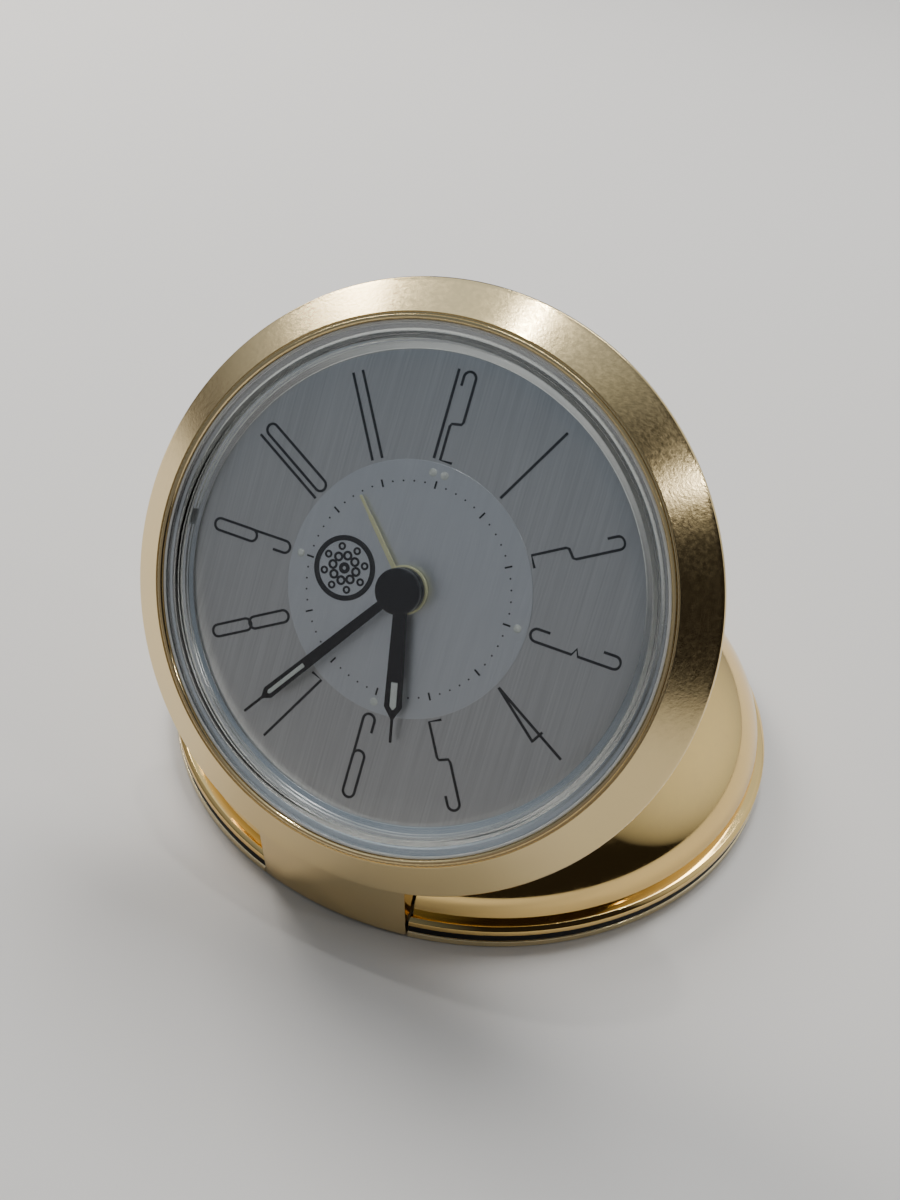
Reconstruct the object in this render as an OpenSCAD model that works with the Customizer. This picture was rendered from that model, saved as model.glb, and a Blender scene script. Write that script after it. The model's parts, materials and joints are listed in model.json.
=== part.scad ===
// Folding travel alarm clock with a battery quartz movement.
// Millimetres, +Z up. The origin is the centre of the base ring, on the table.
// The base is the lid turned over: it stands on its rim and carries the clock head
// on a hinge at its front. The clock head leans back over the dome.

/* [Lid and base] */
// Outer radius of the lid's rim, which is the base ring when the clock stands
lid_r = 38.5; // [38:0.1:39]
// Height of the pale lower ring that touches the table
ring_h = 1.0; // [0.9:0.1:1.2]
// Height of the recessed black line
line_h = 0.9; // [0.7:0.1:1]
// Depth of the black line behind the rim
line_inset = 0.1; // [0.1:0.05:0.4]
// Height of the polished lip above the black line
lip_h = 1.1; // [0.9:0.1:1.3]
// Height of the dome above the lip
dome_h = 12.8; // [12.6:0.1:13.4]
// How square the dome's shoulder is: 2 is an ellipse
dome_power = 3; // [2.9:0.1:3.3]
// Wall thickness of the pressed dome
dome_wall = 0.6; // [0.5:0.05:0.7]

/* [Clock head] */
// Outer radius of the bezel
bezel_r = 32; // [31.5:0.1:32.2]
// Radius of the glass opening
glass_r = 27.4; // [27.2:0.1:27.6]
// How far the opening stands in front of the bezel's rim
bezel_rise = 3.1; // [2.9:0.1:3.2]
// Lean of the clock head back from upright when it stands open
lean = 29.5; // [28:0.5:31]
// Depth of the clock head behind the bezel's rim
case_depth = 10.5; // [10.5:0.1:10.8]
// Radius of the flat back
back_r = 16; // [15.8:0.1:16.2]

/* [Hinge] */
// Width of the hinge lug on the bezel
lug_w = 17.7; // [16:0.1:18.5]
// Distance of the hinge pin in front of the base's centre
pin_y = 35.2; // [35:0.1:35.4]
// Height of the hinge pin above the table
pin_z = 1.8; // [1.75:0.05:1.9]
// Radius of the hinge pin
pin_r = 0.6; // [0.5:0.05:0.65]
// Distance of the bezel's rim plane in front of the pin
rim_offset = 7.0; // [6.9:0.1:7.2]

/* [Dial] */
// Radius of the lighter inner disc
centre_disc_r = 13.4; // [13:0.05:13.45]
// Radius at which the numerals start
numeral_in = 13.75; // [13.7:0.05:14.2]
// Radius at which the numerals end
numeral_out = 23.1; // [22.5:0.1:24]
// Width of a numeral's line
stroke_w = 0.27; // [0.25:0.01:0.34]
// Width of one digit
digit_w = 1.3; // [1.2:0.05:1.5]
// Space between the lines of two digits side by side
digit_gap = 0.7; // [0.6:0.05:0.9]

/* [Hands] */
// Length of the minute hand
minute_len = 22; // [19:0.1:22.2]
// Length of the hour hand
hour_len = 15.8; // [14:0.1:16]
// Length of the alarm hand
alarm_len = 10.8; // [9:0.1:11.5]
// Angle of the minute hand, clockwise from 12
minute_at = 216; // [0:6:354]
// Angle of the alarm hand, clockwise from 12
alarm_at = 317; // [0:1:359]

/* [Movement] */
// Module of the wheels between the minute arbor and the setting wheel
wheel_module = 0.25; // [0.25:0.05:0.25]
// Radius of the battery cell
cell_r = 5.8; // [5.7:0.05:5.85]
// Height of the battery cell
cell_h = 4.2; // [4:0.1:4.3]
// Radius of the setting knobs
knob_r = 2.9; // [2.5:0.1:3]

/* [Hidden] */
$fn = 96;

gold = [0.86, 0.72, 0.45];
pale_gold = [0.80, 0.74, 0.56];
silver = [0.75, 0.75, 0.74];
clearance = 0.05;
overlap = 0.02;

// Lid heights
line_z = ring_h;
lip_z = ring_h + line_h;
dome_z = lip_z + lip_h;
dome_r = lid_r - 1.1;
wall_r = lid_r - 1.0;
notch_w = lug_w + 0.4;
notch_top = 8.9;
cheek_w = 3.0;
pin_half = notch_w/2 + 2.0;

// Clock head heights, from the bezel's rim plane, front positive
dial_z = 0;
dial_t = 0.4;
disc_t = 0.08;
print_t = 0.06;
face_z = dial_z + disc_t;
back_z = -case_depth;
back_wall = 0.9;
cone_in = 30.6;

// Movement heights, from a datum in front of the dial's face
movement_z = dial_z + 1.9;
plate_z = -3.2;
plate_t = 0.7;
rear_z = back_z - movement_z;
inner_rear_z = rear_z + back_wall;
cell_z = inner_rear_z + 0.15;
bridge_z = -6.9;
bridge_t = 0.6;

// Places in the movement
setting_x = -wheel_module*24*cos(30);
setting_y = -wheel_module*24*sin(30);
fine_module = 0.24;
alarm_distance = fine_module*26;
alarm_x = alarm_distance*cos(30);
alarm_y = -alarm_distance*sin(30);
hour_at = minute_at/12 + 150;
step_module = 0.15;
step_y = 10.5;
rotor_x = -step_module*36;
screw_angles = [10, 170, 270];
screw_ring_r = 14;
arbor_r = 0.4;
arbor_hole_r = 0.95;
screw_hole_r = 0.6;
hatch_y = 7.6;
hatch_r = 7.2;
switch_y = -11.2;
switch_travel = 2.4;
sound_pitch = 1.5;
sound_y = -6.9;
sound_r = 0.4;

// Height of the dome's outer surface at radius r
function dome_at(r) = dome_z + dome_h*sqrt(max(0, 1 - pow(r/dome_r, dome_power)));

// Points of the dome's outer line from the centre outwards, closer together at the shoulder
function dome_line(inset, n = 22) =
    [for (i = [0:n]) let(a = 90*i/n, r = (dome_r - inset)*sin(a))
        [r, dome_z + (dome_h - inset)*sqrt(max(0, 1 - pow(sin(a), dome_power)))]];

// Points of the back case's outer line, moved outwards by a gap
function case_line(gap) =
    [[cone_in + gap, -0.95 + gap], [cone_in - 0.3 + gap, -1.9], [28.9 + gap, -3.3],
     [back_r + 1.2 + gap, back_z + 0.5], [back_r + gap, back_z]];

// An arc as a list of points
function arc(cx, cy, r, from, to, n = 10) =
    [for (i = [0:n]) let(a = from + (to - from)*i/n) [cx + r*cos(a), cy + r*sin(a)]];

function unit(v) = v/norm(v);
function side(v) = [-v[1], v[0]];

// Half-width offset of a path's point i, square to the path
function across(path, i) =
    let(n = len(path),
        a = unit(path[min(i + 1, n - 1)] - path[max(i - 1, 0)]))
    side(a);

// Closed outline of a line of width w along a path
function ribbon(path, w) =
    concat([for (i = [0:len(path) - 1]) path[i] + across(path, i)*w/2],
           [for (i = [len(path) - 1:-1:0]) path[i] - across(path, i)*w/2]);

// Places children in the clock head's own frame: X right, Y towards 12, Z out of the dial
module head_place() {
    translate([0, -pin_y, pin_z])
        rotate([90 - lean, 0, 0])
            translate([0, pin_y, rim_offset])
                children();
}

// Places children in the movement's frame, whose heights run from its own datum
module movement_place() {
    head_place() translate([0, 0, movement_z]) children();
}

// Turns children clockwise on the dial, from the 12 position
module at_dial_angle(a) {
    rotate([0, 0, -a]) children();
}

module tube(r_out, r_in, z0, z1) {
    translate([0, 0, z0])
        difference() {
            cylinder(h = z1 - z0, r = r_out);
            translate([0, 0, -1]) cylinder(h = z1 - z0 + 2, r = r_in);
        }
}

module rod(r, z0, z1) {
    translate([0, 0, z0]) cylinder(h = z1 - z0, r = r);
}

// Outline of a wheel: narrow teeth leave running room on both flanks
module gear_outline(teeth, m) {
    pitch = 360/teeth;
    tip_r = teeth*m/2 + 0.75*m;
    root_r = teeth*m/2 - 1.15*m;
    polygon([for (i = [0:teeth - 1], k = [0:3])
        let(a = i*pitch + pitch*[-0.21, -0.10, 0.10, 0.21][k], r = [root_r, tip_r, tip_r, root_r][k])
        [r*cos(a), r*sin(a)]]);
}

module gear(teeth, m, z0, z1, bore = 0, turn = 0) {
    translate([0, 0, z0])
        rotate([0, 0, turn])
            difference() {
                linear_extrude(height = z1 - z0) gear_outline(teeth, m);
                if (bore > 0) translate([0, 0, -1]) cylinder(h = z1 - z0 + 2, r = bore);
            }
}

// ---- Lid, which is the base when the clock stands open ----

// Block that clears the hinge lug through the lid's front wall
module lug_notch(z0, z1) {
    translate([-notch_w/2, -lid_r - 2, z0]) cube([notch_w, lid_r - 24, z1 - z0]);
}

module lid_shell() {
    color(gold)
        difference() {
            rotate_extrude()
                polygon(concat(dome_line(0),
                    [[lid_r - 0.3, dome_z], [lid_r, dome_z - 0.3], [lid_r, lip_z + 0.15],
                     [lid_r - 0.15, lip_z], [wall_r - 0.9, lip_z]],
                    [for (i = [22:-1:0]) dome_line(dome_wall)[i]]));
            lug_notch(-1, notch_top);
            pin_bore(pin_r + clearance);
        }
}

module lid_black_ring() {
    color([0.03, 0.03, 0.03])
        difference() {
            tube(lid_r - line_inset, wall_r, line_z, lip_z);
            lug_notch(-1, notch_top);
        }
}

// Bore for the hinge pin, along X
module pin_bore(r) {
    translate([-lid_r, -pin_y, pin_z])
        rotate([0, 90, 0]) cylinder(h = 2*lid_r, r = r);
}

module lid_rim_ring() {
    wall_in = lid_r - 1.9;
    color(pale_gold)
        difference() {
            union() {
                tube(lid_r, wall_in, 0, line_z);
                tube(wall_r, wall_in, line_z - overlap, lip_z);
                for (s = [-1, 1])
                    intersection() {
                        translate([s > 0 ? notch_w/2 : -notch_w/2 - cheek_w, -lid_r, 0])
                            cube([cheek_w, 5.6, 3.4]);
                        cylinder(h = 10, r = wall_r - 0.15);
                        union() {
                            cylinder(h = lip_z, r = lid_r);
                            cylinder(h = 10, r = dome_r - dome_wall - 0.5);
                        }
                    }
            }
            lug_notch(-1, notch_top);
            pin_bore(pin_r);
        }
}

module lid_liner() {
    liner_r = 18;
    liner_t = 0.3;
    under = dome_at(liner_r) - dome_wall - 0.25;
    color([0.10, 0.09, 0.10]) rod(liner_r, under - liner_t, under);
}

module hinge_pin() {
    color([0.70, 0.70, 0.72])
        translate([-pin_half, -pin_y, pin_z])
            rotate([0, 90, 0]) cylinder(h = 2*pin_half, r = pin_r);
}

module hinge_washers() {
    gap = (notch_w - lug_w)/2;
    color([0.90, 0.90, 0.86])
        for (s = [-1, 1])
            translate([s*(lug_w/2 + gap/2 + 0.02), -pin_y, pin_z])
                rotate([0, 90, 0]) tube(1.4, pin_r, -gap/2 + 0.05, gap/2 - 0.02);
}

// ---- Clock head: case ----

// Side view of the hinge lug in the head's own frame, as [Y, Z]
module lug_side() {
    a = 90 - lean;
    function local(y, z) =
        let(dy = y + pin_y, dz = z - pin_z)
        [-pin_y + dy*cos(a) + dz*sin(a), -rim_offset - dy*sin(a) + dz*cos(a)];
    polygon([[-29.4, -0.3], [-bezel_r + 1.2, 1.0], [-bezel_r - 6, 1.0],
             local(-lid_r - 2, 0.15), local(-pin_y, 0.15), local(-pin_y + 1.65, pin_z),
             local(-pin_y + 0.8, 8.0), [-29.4, -4.0]]);
}

// The lug's round front face: a cone about the base's axis, flush with the base below
module lug_front() {
    cylinder(h = 12, r1 = lid_r, r2 = lid_r + 1.9);
}

module bezel() {
    color(gold)
        difference() {
            union() {
                head_place()
                    rotate_extrude()
                        polygon([[glass_r, bezel_rise - 0.25], [glass_r + 0.25, bezel_rise],
                                 [glass_r + 0.6, bezel_rise], [bezel_r - 0.1, 0.2],
                                 [bezel_r, 0.05], [bezel_r, -0.35], [bezel_r - 0.5, -0.9],
                                 [29.0, -0.9], [29.0, -2.6], [28.0, -2.6], [28.0, 0.02],
                                 [glass_r, 0.02]]);
                difference() {
                    intersection() {
                        head_place()
                            translate([-lug_w/2, 0, 0])
                                rotate([90, 0, 90]) linear_extrude(height = lug_w) lug_side();
                        lug_front();
                    }
                    head_place()
                        union() {
                            translate([0, 0, 0.1]) cylinder(h = 8, r1 = bezel_r, r2 = bezel_r + 8);
                            translate([0, 0, -1]) cylinder(h = 8, r = 30);
                            rotate_extrude()
                                polygon(concat([[0, -0.9]], case_line(clearance), [[0, back_z]]));
                        }
                }
            }
            pin_bore(pin_r + clearance);
        }
}

// Domed lens with a flange that sits on the chapter ring
module lens() {
    dome = 25.2;
    inner = 24.6;
    edge = glass_r - 0.32;
    color([0.92, 0.95, 0.96, 0.30])
        head_place()
            rotate_extrude()
                polygon(concat(
                    [[0, 3.4]],
                    [for (i = [0:8]) let(r = dome*i/8) [r, 4.5 - 0.9*pow(r/dome, 2)]],
                    [[dome + 0.7, 3.2], [edge, 2.7], [edge, 1.12], [26.0, 1.12], [25.4, 2.2]],
                    [for (i = [8:-1:1]) let(r = inner*i/8) [r, 3.4 - 0.7*pow(r/inner, 2)]]));
}

module lens_gasket() {
    color([0.05, 0.05, 0.05]) head_place() tube(glass_r, glass_r - 0.3, 1.12, 2.75);
}

// Conical ring that frames the dial, with a step under the lens
module chapter_ring() {
    color([0.83, 0.84, 0.83])
        head_place()
            rotate_extrude()
                polygon([[24.75, dial_z], [24.85, 0.3], [25.5, 0.6], [25.7, 0.85], [26.4, 1.1],
                         [glass_r - 0.05, 1.1], [glass_r - 0.05, dial_z]]);
}

// ---- Clock head: dial ----

module dial() {
    color(silver) head_place() tube(glass_r + 0.3, 2.0, dial_z - dial_t, dial_z);
}

module dial_centre_disc() {
    color([0.80, 0.81, 0.80]) head_place() tube(centre_disc_r, 2.05, dial_z, face_z);
}

module dial_track() {
    track_r = 11.2;
    color([0.05, 0.05, 0.05])
        head_place()
            for (i = [0:11]) {
                at_dial_angle(i*30)
                    translate([-0.09, track_r - 0.4, face_z]) cube([0.18, 0.8, print_t]);
                for (k = [1:4])
                    at_dial_angle(i*30 + k*6) translate([0, track_r, face_z])
                        cylinder(h = print_t, r = 0.09, $fn = 16);
            }
}

// Open lines of one digit in a box of width w and height h, standing on y = 0
function digit(d, w, h) = let(a = w/2)
    d == "1" ? [[[0, 0], [0, h]]] :
    d == "2" ? [concat([[-a, h - 1.6]], arc(0, h - a, a, 180, 0),
                       [[a, 0.46*h], [a - 0.15, 0.43*h], [0.15 - a, 0.41*h], [-a, 0.38*h],
                        [-a, 0], [a, 0]])] :
    d == "3" ? [concat([[-a, h - 1.9]], arc(0, h - a, a, 180, 0),
                       [[a, 0.55*h], [a - 0.7, 0.52*h], [a, 0.48*h]],
                       arc(0, a, a, 0, -180), [[-a, 1.9]])] :
    d == "4" ? [[[a, 0], [a, h]], [[a, h], [-0.3*w, 0.33*h]], [[-0.3*w, 0.34*h], [0.8*w, 0.34*h]]] :
    d == "5" ? [concat([[1.1*a, h], [-a, h], [-a, 0.6*h], [0.15 - a, 0.57*h],
                        [a - 0.15, 0.56*h], [a, 0.52*h]],
                       arc(0, a, a, 0, -180), [[-a, 1.6]])] :
    d == "6" ? [concat([[a, h - 1.9]], arc(0, h - a, a, 0, 180), [[-0.96*a, 0.56*h - 1.2*a]])] :
    d == "7" ? [[[-a, h - 0.2], [a, h], [a, 0]]] :
    d == "9" ? [concat([[-a, 1.9]], arc(0, a, a, 180, 360), [[0.96*a, 0.44*h + 1.2*a]])] : [];

// Closed loops of one digit, each as its lowest and highest y
function loops(d, h) =
    d == "0" ? [[0, h]] :
    d == "6" ? [[0, 0.56*h]] :
    d == "8" ? [[0, h/2 + 0.1], [h/2 - 0.1, h]] :
    d == "9" ? [[0.44*h, h]] : [];

module stadium(r, y0, y1) {
    polygon(concat(arc(0, y1, r, 0, 180), arc(0, y0, r, 180, 360)));
}

module digit_lines(d) {
    h = numeral_out - numeral_in;
    a = digit_w/2;
    linear_extrude(height = print_t) {
        for (path = digit(d, digit_w, h)) polygon(ribbon(path, stroke_w));
        for (y = loops(d, h))
            difference() {
                stadium(a + stroke_w/2, y[0] + a, y[1] - a);
                stadium(a - stroke_w/2, y[0] + a, y[1] - a);
            }
    }
}

// Middle of a label's digit k, with the label centred and a "1" as wide as its line
function digit_x(label, k) =
    len(label) == 1 ? 0 :
    let(last = label[1] == "1" ? 0.4 : digit_w, whole = digit_gap + last)
    k == 0 ? -whole/2 : label[1] == "1" ? whole/2 : whole/2 - last/2;

// The numerals stand on the ring, with their tops outwards at the top half of the dial
module dial_numerals() {
    labels = ["12", "1", "2", "3", "4", "5", "6", "7", "8", "9", "10", "11"];
    color([0.04, 0.04, 0.04])
        head_place()
            for (i = [0:11]) {
                flip = i >= 4 && i <= 8;
                at_dial_angle(i*30)
                    translate([0, flip ? numeral_out : numeral_in, dial_z])
                        rotate([0, 0, flip ? 180 : 0])
                            for (k = [0:len(labels[i]) - 1])
                                translate([digit_x(labels[i], k), 0, 0]) digit_lines(labels[i][k]);
            }
}

module lume_dots() {
    dot_r = 12.35;
    places = [[-0.65, 0], [0.65, 0], [0, 90], [0, 180], [0, 270]];
    color([0.93, 0.95, 0.88])
        head_place()
            for (p = places)
                at_dial_angle(p[1])
                    translate([p[0], dot_r, face_z]) cylinder(h = 0.15, r = 0.42, $fn = 32);
}

// Plain rosette of eight rings and eight smaller rings inside a ring
module dial_emblem() {
    color([0.08, 0.08, 0.09])
        head_place()
            translate([-7.15, 0, face_z]) {
                tube(3.45, 2.9, 0, print_t);
                tube(0.6, 0.2, 0, print_t);
                for (i = [0:7]) {
                    rotate([0, 0, i*45]) translate([1.35, 0, 0]) tube(0.52, 0.27, 0, print_t);
                    rotate([0, 0, i*45 + 22.5]) translate([2.3, 0, 0]) tube(0.42, 0.2, 0, print_t);
                }
            }
}

// ---- Clock head: back ----

// Hole through the flat back
module back_hole(x, y, r) {
    translate([x, y, back_z - 1]) cylinder(h = back_wall + 2, r = r);
}

module back_case() {
    color([0.80, 0.68, 0.42])
        head_place()
            difference() {
                rotate_extrude()
                    polygon(concat(case_line(0),
                            [[0, back_z], [0, back_z + back_wall], [back_r - 0.6, back_z + back_wall],
                             [27.4, -3.5], [27.9, -2.65], [29.05, -2.65], [29.05, -0.95]]));
                back_hole(0, hatch_y, hatch_r + 0.1);
                back_hole(setting_x, setting_y, arbor_hole_r);
                back_hole(alarm_x, alarm_y, arbor_hole_r);
                translate([-2.6, switch_y - 1.1, back_z - 1]) cube([5.2, 2.2, back_wall + 2]);
                for (a = screw_angles) rotate([0, 0, a]) back_hole(screw_ring_r, 0, screw_hole_r);
                for (i = [-2:2]) back_hole(i*sound_pitch, sound_y, sound_r);
            }
}

module case_screws() {
    color([0.72, 0.72, 0.74])
        movement_place()
            for (a = screw_angles)
                rotate([0, 0, a])
                    translate([screw_ring_r, 0, 0])
                        difference() {
                            union() {
                                rod(0.55, rear_z - 0.02, rear_z + 3.2);
                                rod(1.1, rear_z - 0.45, rear_z);
                            }
                            translate([-1.5, -0.15, rear_z - 0.6]) cube([3, 0.3, 0.35]);
                        }
}

// ---- Clock head: movement ----

// Bores in a plate for the arbors that turn in it
module arbor_bores(z) {
    for (p = [[setting_x, setting_y, arbor_r], [alarm_x, alarm_y, arbor_r],
              [0, step_y, 0.3], [rotor_x, step_y, 0.3]])
        translate([p[0], p[1], z]) cylinder(h = 3, r = p[2] + clearance, $fn = 48);
}

module movement_plate() {
    color([0.78, 0.70, 0.45])
        movement_place()
            difference() {
                tube(26, 1.6, plate_z, plate_z + plate_t);
                arbor_bores(plate_z - 1);
            }
}

module movement_pillars() {
    color([0.72, 0.66, 0.42])
        movement_place()
            for (a = screw_angles)
                rotate([0, 0, a]) translate([screw_ring_r, 0, 0])
                    tube(1.1, 0.55, inner_rear_z, plate_z);
}

module movement_bridge() {
    color([0.80, 0.80, 0.78])
        movement_place()
            difference() {
                translate([-6.6, -6, bridge_z]) cube([13, 19, bridge_t]);
                translate([0, 0, bridge_z - 1]) cylinder(h = 3, r = 0.7 + clearance, $fn = 48);
                arbor_bores(bridge_z - 1);
            }
}

module circuit_board() {
    color([0.10, 0.33, 0.18])
        movement_place() translate([-10.5, -12.4, -8.0]) cube([21, 7.4, 0.7]);
}

module quartz_crystal() {
    color([0.78, 0.78, 0.80])
        movement_place() translate([2.5, -8.8, -9.0]) rotate([0, 90, 0]) cylinder(h = 6, r = 0.95);
}

module coil_bobbin() {
    color([0.12, 0.12, 0.12])
        movement_place()
            translate([-10.6, 1.6, -5.6]) rotate([-90, 0, 0]) {
                tube(0.9, 0.45, 0, 6.2);
                tube(1.6, 0.9, 0, 0.4);
                tube(1.6, 0.9, 5.8, 6.2);
            }
}

module coil_winding() {
    color([0.72, 0.38, 0.18])
        movement_place() translate([-10.6, 1.6, -5.6]) rotate([-90, 0, 0]) tube(1.5, 0.9, 0.4, 5.8);
}

module stator() {
    color([0.62, 0.62, 0.64])
        movement_place()
            difference() {
                union() {
                    translate([-12.2, 8.2, -5.9]) cube([9.3, 4.6, 0.6]);
                    translate([-10.6, 1.3, -5.6]) rotate([-90, 0, 0]) cylinder(h = 7.2, r = 0.45);
                }
                translate([rotor_x, step_y, -7]) cylinder(h = 3, r = 1.75);
            }
}

module rotor() {
    color([0.30, 0.30, 0.32])
        movement_place() translate([rotor_x, step_y, 0]) {
            rod(0.3, bridge_z + 0.1, plate_z + 0.5);
            rod(1.5, -6.1, -5.1);
            gear(8, step_module, -4.8, -4.0, turn = 22.5);
        }
}

module step_wheel() {
    color([0.88, 0.86, 0.78])
        movement_place() translate([0, step_y, 0]) {
            rod(0.3, bridge_z + 0.1, plate_z + 0.5);
            gear(64, step_module, -4.6, -4.2, turn = 180);
            gear(8, step_module, -4.2, -3.5);
        }
}

module buzzer() {
    color([0.82, 0.70, 0.38])
        movement_place() translate([0, -5.9, 0]) {
            rod(4.2, -10.9, -10.65);
            rod(2.8, -10.65, -10.4);
        }
}

module battery_cell() {
    color([0.80, 0.80, 0.82])
        movement_place() translate([0, hatch_y, 0]) {
            rod(cell_r, cell_z, cell_z + cell_h - 0.35);
            rod(cell_r - 1.1, cell_z + cell_h - 0.35, cell_z + cell_h);
        }
}

module battery_strip() {
    strip_r = cell_r + 0.25;
    color([0.86, 0.82, 0.62])
        movement_place() translate([0, hatch_y, 0])
            intersection() {
                tube(strip_r, cell_r, cell_z + 0.2, cell_z + 3.2);
                translate([-strip_r, 2.5, -20]) cube([2*strip_r, 10, 40]);
            }
}

module battery_spring() {
    top = cell_z + cell_h;
    color([0.86, 0.82, 0.62])
        movement_place() translate([-1.2, hatch_y - 4, top]) cube([2.4, 8, bridge_z - top]);
}

// Round hatch with a coin slot
module battery_hatch() {
    color([0.80, 0.68, 0.42])
        movement_place() translate([0, hatch_y, 0])
            difference() {
                union() {
                    rod(hatch_r, rear_z, inner_rear_z);
                    rod(hatch_r - 0.9, inner_rear_z, cell_z - 0.03);
                }
                translate([-4.5, -0.6, rear_z - 1]) cube([9, 1.2, 1.5]);
            }
}

// ---- Hands and their arbors ----

module minute_arbor() {
    color([0.72, 0.72, 0.74])
        movement_place() {
            rod(0.7, bridge_z + 0.05, 0.9);
            gear(12, wheel_module, -5.9, -4.85, turn = 210);
        }
}

// A hand's blade along +Y: straight sides to the shoulder, then a narrow tip
module blade(w0, w1, shoulder, tip, tip_w, z0, z1) {
    neck = shoulder + 0.75*(w1 - tip_w);
    translate([0, 0, z0])
        linear_extrude(height = z1 - z0)
            polygon([[-w0/2, 1.2], [-w1/2, shoulder], [-tip_w/2, neck], [-tip_w/2, tip],
                     [tip_w/2, tip], [tip_w/2, neck], [w1/2, shoulder], [w0/2, 1.2]]);
}

// Window for the lume in a hand's blade
module lume_window(w, from, to, z0, z1) {
    translate([-w/2, from, z0]) cube([w, to - from - w/2, z1 - z0]);
    translate([0, to - w/2, z0]) cylinder(h = z1 - z0, r = w/2, $fn = 32);
}

module hand(hub_r, bore, z0, z1) {
    difference() {
        union() {
            rod(hub_r, z0, z1);
            children();
        }
        translate([0, 0, z0 - 1]) cylinder(h = z1 - z0 + 2, r = bore);
    }
}

module minute_hand() {
    color([0.03, 0.03, 0.03])
        movement_place() at_dial_angle(minute_at)
            difference() {
                union() {
                    hand(2.4, 0.7, 0.0, 1.0)
                        blade(0.95, 1.35, 18.5, minute_len, 0.28, 0.35, 0.55);
                    rod(0.7, 0.9, 1.0);
                }
                lume_window(0.46, 13.2, 18.5, 0, 1);
            }
}

module minute_lume() {
    color([0.92, 0.94, 0.90])
        movement_place() at_dial_angle(minute_at) lume_window(0.46, 13.2, 18.5, 0.37, 0.53);
}

module hour_wheel() {
    color([0.84, 0.76, 0.48])
        movement_place() {
            tube(1.1, 0.75, -4.65, -0.35);
            gear(40, fine_module, -4.65, -4.15, bore = 1.0, turn = 210);
        }
}

module hour_hand() {
    color([0.03, 0.03, 0.03])
        movement_place() at_dial_angle(hour_at)
            difference() {
                hand(2.4, 1.1, -0.95, -0.1)
                    blade(1.45, 1.95, 12.1, hour_len, 0.28, -0.75, -0.55);
                lume_window(0.74, 9.5, 12.4, -1, 0);
            }
}

module hour_lume() {
    color([0.92, 0.94, 0.90])
        movement_place() at_dial_angle(hour_at) lume_window(0.74, 9.5, 12.4, -0.73, -0.57);
}

module alarm_wheel() {
    color([0.84, 0.76, 0.48])
        movement_place() {
            tube(1.5, 1.15, -3.95, -1.1);
            gear(40, fine_module, -3.95, -3.45, bore = 1.3, turn = -30);
        }
}

module alarm_hand() {
    color([0.78, 0.78, 0.42])
        movement_place() at_dial_angle(alarm_at)
            hand(2.55, 1.505, -1.5, -1.1)
                blade(0.5, 0.42, 8.4, alarm_len, 0.3, -1.4, -1.2);
}

module setting_wheel() {
    color([0.84, 0.76, 0.48])
        movement_place() translate([setting_x, setting_y, 0]) {
            rod(arbor_r, rear_z - 0.6, plate_z + 0.5);
            gear(36, wheel_module, -5.7, -5.1, turn = 35);
            gear(10, fine_module, -4.8, -4.0, turn = 48);
        }
}

// Fluted knob on an arbor's back end
module knob() {
    flutes = 18;
    difference() {
        rod(knob_r, rear_z - 1.0, rear_z - 0.06);
        rod(arbor_r, rear_z - 0.6, rear_z);
        for (i = [0:flutes - 1])
            rotate([0, 0, i*360/flutes]) translate([knob_r + 0.12, 0, rear_z - 2])
                cylinder(h = 3, r = 0.3, $fn = 24);
    }
}

module time_knob() {
    color([0.10, 0.10, 0.10]) movement_place() translate([setting_x, setting_y, 0]) knob();
}

module alarm_setting_arbor() {
    color([0.84, 0.76, 0.48])
        movement_place() translate([alarm_x, alarm_y, 0]) {
            rod(arbor_r, rear_z - 0.6, plate_z + 0.5);
            gear(12, fine_module, -4.05, -3.35, turn = 165);
        }
}

module alarm_knob() {
    color([0.10, 0.10, 0.10]) movement_place() translate([alarm_x, alarm_y, 0]) knob();
}

// Slide that switches the alarm on, with ribs on its tab
module alarm_switch() {
    color([0.10, 0.10, 0.10])
        movement_place() translate([-switch_travel/2, switch_y, 0])
            difference() {
                union() {
                    translate([-1.2, -0.95, rear_z - 0.9]) cube([2.4, 1.9, back_wall + 1.0]);
                    translate([-2.9, -1.4, inner_rear_z + 0.05]) cube([5.8, 2.8, 0.35]);
                }
                for (i = [-1:1])
                    translate([i*0.7 - 0.15, -1, rear_z - 1]) cube([0.3, 2, 0.3]);
            }
}

lid_shell();
lid_black_ring();
lid_rim_ring();
lid_liner();
hinge_pin();
hinge_washers();
bezel();
lens();
lens_gasket();
chapter_ring();
dial();
dial_centre_disc();
dial_track();
dial_numerals();
lume_dots();
dial_emblem();
back_case();
case_screws();
movement_plate();
movement_pillars();
movement_bridge();
circuit_board();
quartz_crystal();
coil_bobbin();
coil_winding();
stator();
rotor();
step_wheel();
buzzer();
battery_cell();
battery_strip();
battery_spring();
battery_hatch();
minute_arbor();
minute_hand();
minute_lume();
hour_wheel();
hour_hand();
hour_lume();
alarm_wheel();
alarm_hand();
setting_wheel();
time_knob();
alarm_setting_arbor();
alarm_knob();
alarm_switch();
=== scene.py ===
import json
import math

import bmesh
import bpy
from mathutils import Matrix, Vector


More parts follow.
